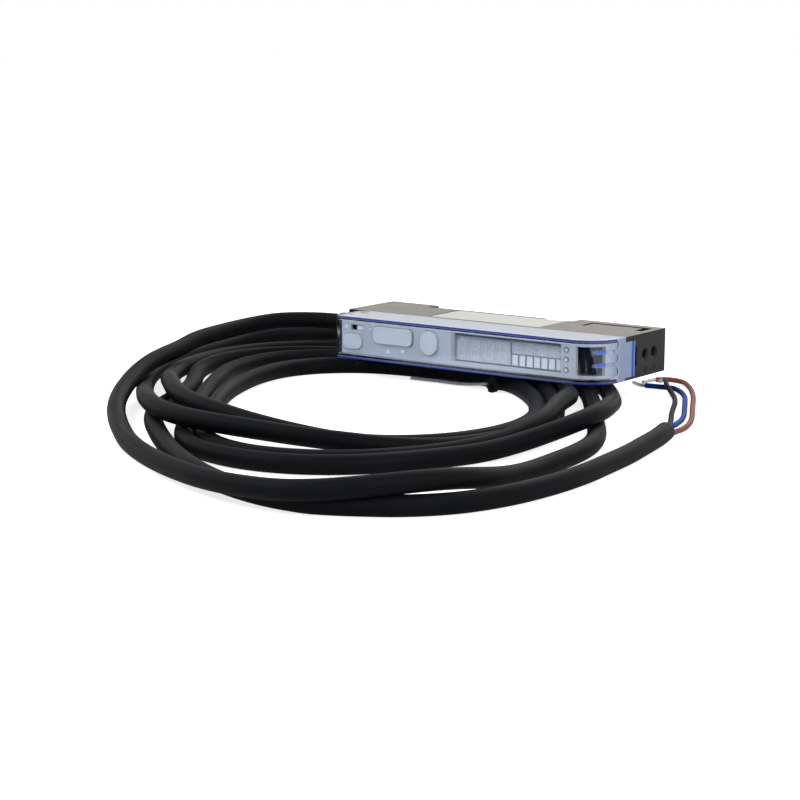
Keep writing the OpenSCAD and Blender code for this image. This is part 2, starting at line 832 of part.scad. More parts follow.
module lock_lever() {
    h = nose_in - 0.2;
    cam_step = 10;
    color("black")
    at_corner()
        difference() {
            union() {
                translate([0, 0, -h])
                    cylinder(r = hub_r, h = 2 * h);
                // Cam that pushes the clamp
                translate([0, 0, -1.2])
                    linear_extrude(2.4)
                        polygon(concat([[0, 0]],
                            [for (a = [90 - lever_turn : cam_step : 90])
                                (cam_r(a) - 0.02) * [cos(a), sin(a)]]));
                // Web and ridged rim
                translate([0, 0, -0.6])
                    linear_extrude(1.2)
                        intersection() {
                            circle(lever_r - 0.6);
                            wedge(lever_r, -96, -8);
                        }
                translate([0, 0, -h])
                    linear_extrude(2 * h)
                        intersection() {
                            difference() {
                                circle(lever_r - 0.3);
                                circle(lever_r - 1.4);
                            }
                            wedge(lever_r, -96, -8);
                        }
                for (a = [-90 : 15 : -15])
                    rotate(a)
                        translate([lever_r - 0.5, -0.25, -h])
                            cube([0.5, 0.5, 2 * h]);
            }
            translate([0, 0, -h - 1])
                cylinder(d = pin_d + slip, h = 2 * h + 2);
        }
}

module lever_pin() {
    color("silver")
        at_corner()
            translate([0, 0, -nose_in - 0.4])
                cylinder(d = pin_d, h = 2 * nose_in + 0.8);
}

module clamp_slide() {
    z0 = -nose_in;
    z1 = under_latch - 0.1;
    reach = fibre_d / 2 + guide;
    color("gray")
    difference() {
        union() {
            block([clamp_x0, clamp_top + 1, -1.5], [clamp_x0 + clamp_t, block_y, 1.5]);
            block([clamp_x0, block_y - eps, z0], [clamp_x0 + clamp_t, 0.9, z1]);
            block([clamp_x0, clamp_top, -1], [corner_x + clamp_reach, clamp_top + 1.2, 1]);
        }
        for (y = bore_ys)
            block([clamp_x0 - 1, y - reach, -reach],
                  [clamp_x0 + clamp_t + 1, y + reach + clamp_travel, reach]);
    }
}

module rail_latch() {
    y1 = hook_depth - hook_wall - 0.15;
    y0 = 0.15;
    h = nose_in + 0.5;
    color("dimgray") {
        // Nose and lip behind the rail's flange
        translate([0, 0, -h])
            linear_extrude(2 * h)
                polygon([[seat_x1 - 0.3, y0], [latch_x, y0], [latch_x, rail_t + rail_gap],
                         [lip_x, rail_t + rail_gap + 0.3], [lip_x, hook_depth - 1.1],
                         [latch_x, hook_depth - 0.2], [seat_x1 - latch_travel - 0.3, hook_depth - 0.2],
                         [seat_x1 - latch_travel - 0.3, y1], [seat_x1 - 0.3, y1]]);
        block([seat_x1 - 0.31, y0, -h], [seat_x1 + latch_l, y1, skin_z - 0.15]);
        // Bar over the fibre bores, with the boss that shows in the slot
        block([seat_x1 + 1.7, slot_y0 + 0.3, latch_z0],
              [slot_x1 - latch_travel - 0.1, y1, skin_z - 0.15]);
        block([slot_x0 + 0.4, slot_y0 + 0.3, latch_z0],
              [slot_x1 - latch_travel - 0.4, slot_y1 - 0.3, top - 0.15]);
    }
}

// A tube swept along a list of points, each ring square to the path there
function unit(v) = v / norm(v);
function heading(p, i) = unit(p[min(i + 1, len(p) - 1)] - p[max(i - 1, 0)]);
function side_of(t) = unit(cross(t, abs(t[2]) < 0.9 ? [0, 0, 1] : [0, 1, 0]));
function ring(c, t, d, n) =
    let (u = side_of(t), v = cross(u, t))
    [for (k = [0 : n - 1])
        c + d / 2 * (cos(360 * (k + 0.5) / n) * u + sin(360 * (k + 0.5) / n) * v)];

module tube(p, d, n) {
    rings = [for (i = [0 : len(p) - 1]) each ring(p[i], heading(p, i), d, n)];
    last = (len(p) - 1) * n;
    polyhedron(points = rings, convexity = 8, faces = concat(
        [[for (k = [0 : n - 1]) k]],
        [[for (k = [n - 1 : -1 : 0]) last + k]],
        [for (i = [0 : len(p) - 2], k = [0 : n - 1])
            each [[i * n + k, (i + 1) * n + k, i * n + (k + 1) % n],
                  [(i + 1) * n + k, (i + 1) * n + (k + 1) % n, i * n + (k + 1) % n]]]));
}

module latch_spring() {
    turns = 6;
    steps = 10;
    run = spring_x1 - spring_x0 - spring_wire;
    color("silver")
        tube([for (i = [0 : turns * steps])
                 [spring_x0 + spring_wire / 2 + run * i / (turns * steps),
                  1.2 + spring_r * cos(360 * i / steps),
                  -1 + spring_r * sin(360 * i / steps)]],
             spring_wire, 6);
}

module strain_relief() {
    color("black")
    translate([tail_x, relief_y, 0])
        rotate([0, -90, 0])
            rotate_extrude()
                difference() {
                    polygon([[0, -wall - 1.3], [cable_d / 2 + 1.7, -wall - 1.3],
                             [cable_d / 2 + 1.7, -wall - fit], [cable_d / 2 + 1.25, -wall - fit],
                             [cable_d / 2 + 1.25, 0.1], [cable_d / 2 + 1.4, 0.1],
                             [cable_d / 2 + 1.2, 3], [cable_d / 2 + 0.6, relief_l - 0.3],
                             [cable_d / 2 + 0.3, relief_l], [0, relief_l]]);
                    translate([0, -wall - 2])
                        square([0.6, 1]);
                }
}

module cable_lead() {
    color("black")
        tube(LEAD, cable_d, 10);
}

module cable_tail() {
    color("black")
        tube(TAIL, cable_d, 10);
}

// The turns of the lead as one ring, waisted where the tie goes round it
module cable_coil() {
    color("black")
    difference() {
        translate([0, 0, floor_z])
            linear_extrude(coil_top - floor_z)
                difference() {
                    polygon(COIL_OUT);
                    polygon(COIL_IN);
                }
        for (y = [[-26, tie_y0], [tie_y1, 12]])
            block([tie_x - tie_w / 2 - 0.3, y[0], floor_z - 1],
                  [tie_x + tie_w / 2 + 0.3, y[1], coil_top + 1]);
        block([tie_x - tie_w / 2 - 0.3, -26, floor_z - 1],
              [tie_x + tie_w / 2 + 0.3, 12, floor_z + groove]);
    }
}

module wire_brown() {
    color("sienna")
        tube(BROWN, wire_d, 8);
}

module wire_blue() {
    color("royalblue")
        tube(BLUE, wire_d, 8);
}

module wire_black() {
    color("black")
        tube(BLACK, wire_d, 8);
}

module wire_tips() {
    color("silver")
        for (p = TIPS)
            tube(p, wire_d * 0.75, 8);
}

module twist_tie() {
    x0 = tie_x - tie_w / 2;
    x1 = tie_x + tie_w / 2;
    y0 = tie_y0 - slip;
    y1 = tie_y1 + slip;
    z0 = floor_z + groove - slip;
    z1 = coil_top + fit;
    color("black") {
        difference() {
            block([x0, y0 - tie_t, z0 - tie_t], [x1, y1 + tie_t, z1 + tie_t]);
            block([x0 - 1, y0, z0], [x1 + 1, y1, z1]);
        }
        // Twisted ends
        translate([tie_x, y0 - tie_t + eps, z0 + 1])
            rotate([90, 0, 0])
                cylinder(d = 1.8, h = tie_end);
    }
}

main_case();
side_cover();
label_plate();
front_cover();
front_panel();
display_window();
digit_display_left();
digit_display_right();
bar_guide();
lamp_guide();
mode_button();
value_rocker();
set_button();
switch_knob();
switch_body();
tact_switches();
panel_board();
main_board();
board_parts();
board_header();
optics_holder();
emitter_led();
receiver_diode();
lock_lever();
lever_pin();
clamp_slide();
rail_latch();
latch_spring();
strain_relief();
cable_lead();
cable_coil();
cable_tail();
wire_brown();
wire_blue();
wire_black();
wire_tips();
twist_tie();
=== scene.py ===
"""Looks of a fibre optic sensor amplifier that lies on its own coiled lead.

Everything is in metres in the part's own frame: +X to the fibre end, -Y to the control
face, +Z to the labelled side, with the middle of the rail seat at the origin.
"""

import math

import bmesh
import bpy
import numpy as np
from mathutils import Matrix, Vector


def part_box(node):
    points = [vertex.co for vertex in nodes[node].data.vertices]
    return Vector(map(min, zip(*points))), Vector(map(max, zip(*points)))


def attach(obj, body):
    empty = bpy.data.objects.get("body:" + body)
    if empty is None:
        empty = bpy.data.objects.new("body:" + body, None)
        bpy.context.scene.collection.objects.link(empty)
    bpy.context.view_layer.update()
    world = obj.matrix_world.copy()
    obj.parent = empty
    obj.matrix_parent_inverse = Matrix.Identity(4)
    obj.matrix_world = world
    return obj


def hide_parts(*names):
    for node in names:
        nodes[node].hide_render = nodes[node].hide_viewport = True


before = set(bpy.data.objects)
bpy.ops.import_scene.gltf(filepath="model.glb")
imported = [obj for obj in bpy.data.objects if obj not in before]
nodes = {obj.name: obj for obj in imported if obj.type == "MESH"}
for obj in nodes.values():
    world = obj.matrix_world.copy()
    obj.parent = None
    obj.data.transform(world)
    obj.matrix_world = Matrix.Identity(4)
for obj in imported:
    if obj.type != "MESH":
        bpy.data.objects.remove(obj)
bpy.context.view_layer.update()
MM = 0.001

# Sizes repeated from the part
CABLE_D = 4 * MM
WIRE_D = 1.2 * MM
FLOOR_Z = -10.2 * MM
PANEL_Y = -24.7 * MM
END_X = 46 * MM
TIE_X = 13 * MM
# The clear cover: the middle and radius of its round corner, half its height, its left end,
# where the tab's lip starts, the height midway between its gussets and their distance
CORNER_X, CORNER_Y = 38 * MM, -18.5 * MM
CORNER_R = 8 * MM
COVER_TOP = 5 * MM
COVER_LEFT = -27 * MM
LIP_Y = -12.2 * MM
GUSSET_MID = 0.7 * MM
GUSSET_GAP = 3 * MM
# The signal lamps: where they are along the housing, the middle of their heights and their
# mean pitch
LAMP_X = 36.25 * MM
LAMP_Z = 0.1 * MM
LAMP_PITCH = 2.3 * MM

# The coil: the least distance between the middles of two runs, their heights on the floor and
# where one passes over another, and the place in which the housing keeps them low
CLEAR = 1.02 * CABLE_D
LEAD_Z = FLOOR_Z + CABLE_D / 2
CROSS_Z = LEAD_Z + CLEAR
WIRE_Z = FLOOR_Z + WIRE_D / 2
HOUSED = np.array([(-30, -27), (46.5, 4)]) * MM
HOUSED_Z = -7.2 * MM

# The camera, solved from the corners of the housing in the photo

IMAGE = 800
FOCAL_PX = 2200
SENSOR = 36
CAMERA_AT = Vector((282.2, -446.8, 76.5)) * MM
YAW = math.radians(-34.61)
TILT = math.radians(10)
ROLL = math.radians(0.5)


def place_camera():
    """Camera whose axes come from the photo's yaw, downward tilt and roll."""
    ahead = Vector(
        (math.sin(YAW) * math.cos(TILT), math.cos(YAW) * math.cos(TILT), -math.sin(TILT))
    )
    right = Vector((math.cos(YAW), -math.sin(YAW), 0))
    up = right.cross(ahead)
    right_rolled = math.cos(ROLL) * right + math.sin(ROLL) * up
    up_rolled = math.cos(ROLL) * up - math.sin(ROLL) * right
    data = bpy.data.cameras.new("camera")
    data.sensor_width = SENSOR
    data.lens = FOCAL_PX / IMAGE * SENSOR
    data.clip_start = 0.01
    data.clip_end = 20
    camera = bpy.data.objects.new("camera", data)
    turn = Matrix((right_rolled, up_rolled, -ahead)).transposed().to_4x4()
    camera.matrix_world = Matrix.Translation(CAMERA_AT) @ turn
    bpy.context.scene.collection.objects.link(camera)
    bpy.context.scene.camera = camera


place_camera()

# Routes of the lead and its conductors, in millimetres. A point without a height lies on
# the floor, and UP is the height over a run that lies there.

UP = CROSS_Z / MM
# From the strain relief to the coil, as in the part
LEAD = [
    (-40.05, -6, 0), (-41.5, -6, 0), (-45, -6.4, 0), (-50, -9, 0), (-54, -14, 0),
    (-56.5, -22, -0.5), (-57, -32, -1), (-56, -43, -1.5), (-54, -52, -2.5), (-52, -60, -3),
    (-50, -67, -3.6), (-46.5, -76, -4.8), (-40, -88, -6.5), (-30, -101, -7.5), (-16, -115),
    (-2, -127),
]
# The turns of the coil, one after the other, each from the left side round the front,
# up the right side and back under the housing
TURN_A = [
    (12, -136, -7.9), (22.5, -142, -7.4), (30, -145.5, -7.1), (44.5, -149, -6.4),
    (55.5, -149.5, -5.6), (63.5, -145, -4.8), (70, -139.5, UP), (75, -131, UP),
    (75.5, -120.5, -5.6), (73.5, -109.5, -7.4), (72.5, -100), (72, -89), (70, -73),
    (65, -61), (56, -46.5), (47.3, -32), (39.5, -20), (30, -8.5), (18, -2), (5, -0.7),
    (-8, -0.7), (-20, -0.7), (-32, -0.5, -7.6), (-39, 0.6, -5.4), (-45, 2.1, UP),
    (-51, 3.4, -5.1), (-58, 3.6, -5.7), (-65, 1.6, -6.4), (-70, -3.4, -7.2),
]
TURN_B = [
    (-72, -10), (-70.5, -25), (-65, -43), (-58, -57), (-51, -67, -8), (-44.3, -75.7, -7.8),
    (-37.5, -83.2, -7), (-30.5, -91, -5.8), (-23, -99.2, -4.6), (-13, -108, UP),
    (-4, -112.5, UP), (5, -114.3, UP), (16, -114, -4.4), (27, -111, -5.2),
    (36, -106, -6.2), (42, -99, -7.4), (47, -91), (51, -82), (52.8, -69), (50, -54),
    (42.6, -40.2), (33.8, -27.4), (23, -14.9), (10, -9.7), (-3, -9.1), (-20, -9.1),
    (-33, -9.6), (-41, -12), (-46.3, -18),
]
TURN_C = [
    (-49, -27), (-46.6, -42), (-37, -60), (-25.8, -78), (-14, -95), (-5, -108.5),
    (3, -117.5), (10, -121.7), (17, -123.5), (25, -124), (34, -121.5), (42, -116),
    (48, -108), (52, -100), (55.5, -89.5), (59, -80, -7.2), (63, -72, -5.4),
    (64.6, -62.5, -4.2), (62, -52.5, -4.4), (57.5, -43, -5.4), (52.3, -32, -6.9),
    (46, -21), (37.5, -9), (28, -0.4), (16, 3), (4, 3.5), (-8, 3.5), (-20, 3.5), (-34, 3.6),
    (-43, 2.2), (-51, -1.5), (-57, -8),
]
TURN_D = [
    (-60.5, -16), (-62, -26), (-60.5, -38), (-55, -51, -7.7), (-46, -64, -6.6),
    (-38, -74.5, -5.2), (-30, -83, -4.2), (-22.7, -90.3, UP), (-16, -95.5, UP),
    (-9, -99.8, UP), (0, -103.3, -4.4), (9, -104, -5.4), (20, -102, -6.9), (29.5, -99, -8),
    (37.5, -95), (43.8, -88.5), (48, -79), (48.8, -66), (44.6, -50), (37.2, -38),
    (28, -27.3), (17, -17.4), (5, -13.6), (-10, -13.3), (-24, -15.2),
]
TURN_E = [
    (-33, -22), (-37.3, -32), (-36.4, -43), (-32.7, -55), (-27.5, -67), (-19.6, -80.5),
    (-10, -95), (-1, -107.5), (6.5, -114.5), (13.5, -118), (21.5, -119.7), (31, -117.5),
    (40, -112), (45.7, -104.5), (50, -96), (53.5, -86, -7.8), (55, -73, -6.6),
    (52.8, -60, -5.6), (48.3, -49, -5.2), (44.5, -38, -5.8), (40, -29.5, -6.8),
    (34.2, -21.2, -7.6), (27, -12.5), (15, -6.2), (3, -5), (-8, -4.9), (-20, -4.9),
    (-34, -5.2), (-44, -7.6), (-51.5, -14),
]
TURN_F = [
    (-57, -25.5), (-56.2, -37.5), (-50.8, -49.2), (-44.8, -57.3), (-39.6, -64.4),
    (-34.5, -73), (-30.5, -82.5), (-26.5, -91.5), (-21, -99.8), (-10, -111), (1, -121),
    (12, -130), (24, -138), (37, -144.3), (46, -146.7),
]
# The free end, as in the part
TAIL = [
    (52, -147), (58, -145.5), (64, -142.5), (70, -138.5), (76, -131.5), (80, -121.5),
    (82, -108), (82, -96), (81, -86), (79.5, -74), (78, -66), (76, -56), (74, -48.5),
]
# The three conductors, as in the part
BROWN = [
    (75.1, -48.2, -8.6), (74, -43, -9), (72.5, -37, -9.4), (70.5, -31), (67.5, -24),
    (64, -17), (60.5, -10), (56.5, -2), (52, 6), (48, 12), (44, 16.5), (40, 17.5),
    (37.5, 15.5),
]
BLUE = [
    (73.9, -48.5, -7.2), (73, -43, -7.9), (70.5, -36.5, -8.7), (68, -30, -9.3),
    (65, -23), (61.5, -16), (58, -9), (54, -1.5), (50, 4), (46.5, 7), (43, 7),
    (39.5, 6.5),
]
BLACK = [
    (72.9, -48.65, -8.6), (71, -43, -9), (68.5, -36.5, -9.4), (65.5, -30), (62, -23),
    (59, -16.5), (56, -10), (53, -4.5), (49.5, 0.5, -9.3), (46.5, 4, -8.5),
    (44, 8, -8), (42, 11.5, -8.6),
]
# The tie's bare end, from the loop outwards
STRIP_END = [
    (13, -18.6, -8.4), (9, -18.5, -9.1), (4, -18.1, -9.6), (-3, -17.7, -9.7),
    (-11, -17.4, -9.8),
]


def points(rows, z=LEAD_Z / MM):
    """Route points from millimetres to metres; a point without a height gets z."""
    return np.array([(r[0], r[1], r[2] if len(r) > 2 else z) for r in rows]) * MM


def gaps_of(line):
    """The distance from each sample of a line to the next."""
    return np.linalg.norm(np.diff(line, axis=0), axis=1)


def along_of(line):
    """The distance from the start of a line to each of its samples."""
    return np.concatenate([[0], np.cumsum(gaps_of(line))])


def resample(line, step):
    """The same line with samples evenly about a step apart."""
    along = along_of(line)
    stops = np.linspace(0, along[-1], int(round(along[-1] / step)) + 1)
    return np.stack([np.interp(stops, along, column) for column in line.T], axis=1)


def smooth_curve(route, step, per_span=24):
    """Centripetal Catmull-Rom curve through the route, sampled evenly about a step apart."""
    p = np.vstack([2 * route[0] - route[1], route, 2 * route[-1] - route[-2]])
    gap = np.sqrt(gaps_of(p))
    knot = np.concatenate([[0], np.cumsum(gap)])
    t = knot[1:-2, None] + gap[1:-1, None] * np.linspace(0, 1, per_span, endpoint=False)
    p0, p1, p2, p3 = (p[k : len(p) - 3 + k, None, :] for k in range(4))
    k0, k1, k2, k3 = (knot[k : len(p) - 3 + k, None] for k in range(4))

    def mix(a, b, ta, tb):
        w = ((t - ta) / (tb - ta))[:, :, None]
        return a + (b - a) * w

    a1, a2, a3 = mix(p0, p1, k0, k1), mix(p1, p2, k1, k2), mix(p2, p3, k2, k3)
    b1, b2 = mix(a1, a2, k0, k2), mix(a2, a3, k1, k3)
    fine = np.vstack([mix(b1, b2, k1, k2).reshape(-1, 3), route[-1:]])
    return resample(fine, step)


# Settling of the coil. Two samples may push each other if they are this far apart along the
# lead and start this near. From this height one passes over the other, and then this share
# of its sideways push is left.
APART_ALONG = 4 * CABLE_D
WATCHED = 5 * CABLE_D
PASSING = 0.4 * CABLE_D
SIDEWAYS = 0.3
# The rounds, and the shares that each takes of the push, of the evening out, and of the way
# back to the line of sight and to the given height
ROUNDS = 260
PUSH, EVEN, TO_SIGHT, TO_HEIGHT = 0.9, 0.2, 0.05, 0.04


def settle(line, held):
    """Lets the coil lie as a real one does.

    Samples closer than a diameter push apart: sideways where they lie level, and mostly
    upwards where one already passes over the other. Between pushes the line evens out
    its bends and is drawn back to its given height and to the camera's line of sight
    through its given place. The held samples stay where they are.
    """
    step = np.linalg.norm(line[1] - line[0])
    a, b = np.triu_indices(len(line), int(round(APART_ALONG / step)))
    near = np.linalg.norm(line[b] - line[a], axis=1) < WATCHED
    a, b = a[near], b[near]
    home = line.copy()
    eye = np.array(CAMERA_AT)
    sight = (eye[:2] - home[:, :2]) / (eye[2] - home[:, 2:])
    for _ in range(ROUNDS):
        apart = line[b] - line[a]
        short = CLEAR - np.linalg.norm(apart, axis=1)
        hit = short > 0
        push = apart[hit]
        stacked = np.abs(push[:, 2]) > PASSING
        push[~stacked, 2] = 0
        push[stacked, :2] *= SIDEWAYS
        push *= (short[hit] / 2 / np.maximum(np.linalg.norm(push, axis=1), 1e-9))[:, None]
        move = np.zeros_like(line)
        touches = np.zeros(len(line))
        for side, sign in ((a[hit], -1), (b[hit], 1)):
            np.add.at(move, side, sign * push)
            np.add.at(touches, side, 1)
        line = line + PUSH * move / np.maximum(touches, 1)[:, None]
        line[1:-1] += EVEN * (0.5 * (line[:-2] + line[2:]) - line[1:-1])
        wanted = home[:, :2] + sight * (line[:, 2:] - home[:, 2:])
        line[:, :2] += TO_SIGHT * (wanted - line[:, :2])
        line[:, 2] = np.maximum(line[:, 2] + TO_HEIGHT * (home[:, 2] - line[:, 2]), LEAD_Z)
        housed = np.all((line[:, :2] > HOUSED[0]) & (line[:, :2] < HOUSED[1]), axis=1)
        line[housed, 2] = np.minimum(line[housed, 2], HOUSED_Z)
        line[held] = home[held]
    return line


def route_of_lead():
    """Centreline of the whole lead, from the strain relief to the cut end of its jacket.

    The coil settles, while the run to it, apart from its last bit, and the free end are
    held where they are set.
    """
    coil = TURN_A + TURN_B + TURN_C + TURN_D + TURN_E + TURN_F
    coarse, fine = 3 * MM, 2 * MM
    line = smooth_curve(points(LEAD + coil + TAIL), coarse)
    along = np.arange(len(line)) * coarse
    run_in, run_out = (gaps_of(points(rows)).sum() for rows in (LEAD, TAIL))
    held = (along < 0.97 * run_in) | (along > along[-1] - run_out)
    return smooth_curve(settle(line, held), fine)


# Meshes


def new_piece(name, vertices, faces, uv=None, smooth=True, closed=True):
    """A mesh object at the origin from vertex rows and face rows, with an optional UV map.

    The faces of a closed mesh are turned outwards.
    """
    mesh = bpy.data.meshes.new(name)
    mesh.from_pydata([tuple(v) for v in vertices.tolist()], [], [tuple(f) for f in faces])
    if closed:
        shell = bmesh.new()
        shell.from_mesh(mesh)
        bmesh.ops.recalc_face_normals(shell, faces=shell.faces)
        shell.to_mesh(mesh)
        shell.free()
    if uv is not None:
        layer = mesh.uv_layers.new(name="UVMap")
        loops = np.empty(len(mesh.loops), dtype=np.int32)
        mesh.loops.foreach_get("vertex_index", loops)
        layer.data.foreach_set("uv", uv[loops].astype(np.float32).ravel())
    mesh.polygons.foreach_set("use_smooth", np.full(len(mesh.polygons), smooth))
    mesh.update()
    piece = bpy.data.objects.new(name, mesh)
    bpy.context.scene.collection.objects.link(piece)
    return piece


def turned(count):
    """Angles of a full turn, evenly spaced."""
    return 2 * np.pi * np.arange(count) / count


def frames_along(line):
    """Heading, level side and remaining direction at each sample of a line."""
    ahead = np.gradient(line, axis=0)
    ahead /= np.linalg.norm(ahead, axis=1)[:, None]
    side = np.cross(ahead, (0.0, 0.0, 1.0))
    side /= np.linalg.norm(side, axis=1)[:, None]
    return ahead, side, np.cross(side, ahead)


def grid_faces(rows, around):
    """Quads of a grid that closes on itself round each row. Its two ends stay open."""
    i, k = np.meshgrid(np.arange(rows - 1), np.arange(around), indexing="ij")
    n = (k + 1) % around
    quads = [i * around + k, i * around + n, (i + 1) * around + n, (i + 1) * around + k]
    return np.stack([q.ravel() for q in quads], axis=1).tolist()


def tube_faces(rows, around):
    """The same quads, and a face over each end."""
    last = (rows - 1) * around
    caps = [list(range(around - 1, -1, -1)), [last + k for k in range(around)]]
    return grid_faces(rows, around) + caps


def tube_rings(line, radius, around):
    """Circles set square to the line at each sample, with one radius or one for each.

    A vertex is the centre plus radius times cos(angle) along the side and sin(angle) along
    the remaining direction.
    """
    _, side, other = frames_along(line)
    angle = turned(around)[None, :, None]
    radius = np.broadcast_to(radius, len(line))[:, None, None]
    ring = side[:, None, :] * np.cos(angle) + other[:, None, :] * np.sin(angle)
    return line[:, None, :] + radius * ring


def wrapped_uv(line, around):
    """UV map of a grid along a line: the share of the way round, and metres along."""
    share = np.tile(np.arange(around) / around, len(line))
    return np.stack([share, np.repeat(along_of(line), around)], axis=1)


def swept_tube(name, line, radius, around):
    """A closed tube along a line."""
    rings = tube_rings(line, radius, around).reshape(-1, 3)
    return new_piece(name, rings, tube_faces(len(line), around), wrapped_uv(line, around))


def rounded_ends(line, radius, soft):
    """Samples and radii of a tube whose cut edges are rounded over a quarter circle."""
    turn = np.linspace(0, np.pi / 2, 5)
    ahead, _, _ = frames_along(line)
    start = line[0] + ahead[0] * (soft * (1 - np.cos(turn)))[:, None]
    end = line[-1] - ahead[-1] * (soft * (1 - np.cos(turn[::-1])))[:, None]
    edge = radius - soft + soft * np.sin(turn)
    full = np.full(len(line) - 2, radius)
    return (
        np.vstack([start, line[1:-1], end]),
        np.concatenate([edge, full, edge[::-1]]),
    )


# Materials


class Tree:
    """Short calls that add and join the nodes of a tree."""

    def __init__(self, tree):
        self.tree = tree

    def feed(self, value, socket):
        """Joins an output to a socket, or sets the socket to a number or a colour."""
        if isinstance(value, bpy.types.NodeSocket):
            self.tree.links.new(value, socket)
        else:
            socket.default_value = value

    def add(self, kind, inputs=(), **options):
        """A new node, with its options set and its inputs fed by name or by number."""
        node = self.tree.nodes.new(kind)
        for key, value in options.items():
            setattr(node, key, value)
        for key, value in dict(inputs).items():
            self.feed(value, node.inputs[key])
        return node

    def work(self, operation, *values):
        """The result of one step of arithmetic on sockets and numbers."""
        return self.add("ShaderNodeMath", dict(enumerate(values)), operation=operation).outputs[0]

    def spread(self, value, low, high, from_low=0.3, from_high=0.7):
        """Maps one range evenly to another, and holds the value beyond both ends."""
        inputs = {
            "Value": value,
            "From Min": from_low,
            "From Max": from_high,
            "To Min": low,
            "To Max": high,
        }
        return self.add("ShaderNodeMapRange", inputs).outputs["Result"]

    def over(self, value, low, high):
        """A mask that rises from 0 at the low value to 1 at the high one."""
        return self.spread(value, 0, 1, low, high)

    def under(self, value, low, high):
        """A mask that falls from 1 at the low value to 0 at the high one."""
        return self.spread(value, 1, 0, low, high)

    def among(self, *masks):
        """Where all the masks hold."""
        result = masks[0]
        for mask in masks[1:]:
            result = self.work("MINIMUM", result, mask)
        return result

    def away(self, a, b):
        """The distance that two measures at right angles make."""
        squares = self.work("ADD", self.work("MULTIPLY", a, a), self.work("MULTIPLY", b, b))
        return self.work("SQRT", squares)


class Recipe(Tree):
    """A material whose nodes read the object's own coordinates."""

    def __init__(self, name):
        self.material = bpy.data.materials.new(name)
        self.material.use_nodes = True
        super().__init__(self.material.node_tree)
        self.shader = self.tree.nodes["Principled BSDF"]
        self.output = self.tree.nodes["Material Output"]
        self.coordinates = self.add("ShaderNodeTexCoord").outputs
        self.place = self.coordinates["Object"]
        self.normal = None
        self.body = None

    def join(self, value, socket):
        """Joins an output to the shader."""
        self.tree.links.new(value, self.shader.inputs[socket])

    def set(self, **values):
        """Sets the shader's own sockets, whose names have _ for a space here."""
        for key, value in values.items():
            self.shader.inputs[key.replace("_", " ")].default_value = value

    def axes(self, vector=None):
        """The X, Y and Z of a vector, or else of the place on the object."""
        return self.add("ShaderNodeSeparateXYZ", {"Vector": vector or self.place}).outputs

    def noise(self, scale, detail=3, at=None):
        """Soft noise of 0 to 1 on the object, or on another vector."""
        inputs = {"Vector": at or self.place, "Scale": scale, "Detail": detail, "Roughness": 0.55}
        return self.add("ShaderNodeTexNoise", inputs).outputs["Fac"]

    def blend(self, factor, first, second):
        """The first colour where the factor is 0, and the second where it is 1."""
        inputs = {0: factor, 6: first, 7: second}
        return self.add("ShaderNodeMix", inputs, data_type="RGBA").outputs[2]

    def clouds(self, scale, first, second):
        """Soft clouds of two colours."""
        return self.blend(self.spread(self.noise(scale), 0, 1), first, second)

    def polish(self, scale, low, high):
        """Roughness that wanders between two values."""
        self.join(self.spread(self.noise(scale), low, high), "Roughness")

    def soften(self, radius):
        """Shades edges as if they were rounded to the radius."""
        self.normal = self.add("ShaderNodeBevel", {"Radius": radius}, samples=4).outputs["Normal"]
        self.join(self.normal, "Normal")

    def bump(self, height, strength, distance):
        """Relief on top of the softened edges."""
        inputs = {"Height": height, "Strength": strength, "Distance": distance}
        if self.normal:
            inputs["Normal"] = self.normal
        self.join(self.add("ShaderNodeBump", inputs).outputs["Normal"], "Normal")


def rgb(r, g, b):
    """Linear colour, with alpha, from display values of 0 to 255."""
    linear = [((v / 255 + 0.055) / 1.055) ** 2.4 if v > 10 else v / 255 / 12.92 for v in (r, g, b)]
    return (*linear, 1.0)


def dimmed(colour, share):
    """The share of a colour, with full alpha."""
    return (*[share * c for c in colour[:3]], 1)


def moulded(name, dark, light, roughness, depth=0.02, edge=0.12):
    """Moulded plastic: faint colour clouds, a fine spark-eroded grain and uneven gloss.

    The depth of the grain and the softness of the edges are in millimetres.
    """
    m = Recipe(name)
    m.body = m.clouds(90, dark, light)
    m.join(m.body, "Base Color")
    m.polish(360, roughness - 0.05, roughness + 0.06)
    m.soften(edge * MM)
    m.bump(m.noise(2600, detail=2), 0.35, depth * MM)
    return m


def dull_moulded(name, dark, light, edge=0.12):
    """Moulded plastic with a weak sheen, which keeps a dark colour dark on a white ground."""
    m = moulded(name, dark, light, 0.52, edge=edge)
    m.set(Specular_IOR_Level=0.12)
    return m.material


def sheen_topped_moulded(name, dark, light):
    """Dark moulded plastic whose flat side that faces up is painted paler, as a sheen of the
    surroundings seen at a low angle.
    """
    m = moulded(name, dark, light, 0.52)
    facing = m.axes(m.coordinates["Normal"])["Z"]
    # Painted sheen: the face that looks up is painted pale grey-brown, as the surroundings
    # reflected at a low angle
    painted_sheen = m.clouds(220, rgb(122, 118, 111), rgb(131, 127, 120))
    m.join(m.blend(m.over(facing, 0.8, 0.95), m.body, painted_sheen), "Base Color")
    m.set(Specular_IOR_Level=0.15)
    return m.material


def label_foil():
    """Silver foil: pale, with hardly visible brush lines along the housing."""
    m = Recipe("label_foil")
    stretch = m.add("ShaderNodeMapping", {"Vector": m.place, "Scale": (60, 4000, 1)})
    lines = m.noise(1, at=stretch.outputs["Vector"])
    m.join(m.blend(m.spread(lines, 0, 1), rgb(189, 190, 184), rgb(201, 202, 196)), "Base Color")
    m.join(m.spread(lines, 0.46, 0.6), "Roughness")
    m.bump(lines, 0.12, 0.01 * MM)
    m.set(Metallic=0.15, Specular_IOR_Level=0.15)
    return m.material


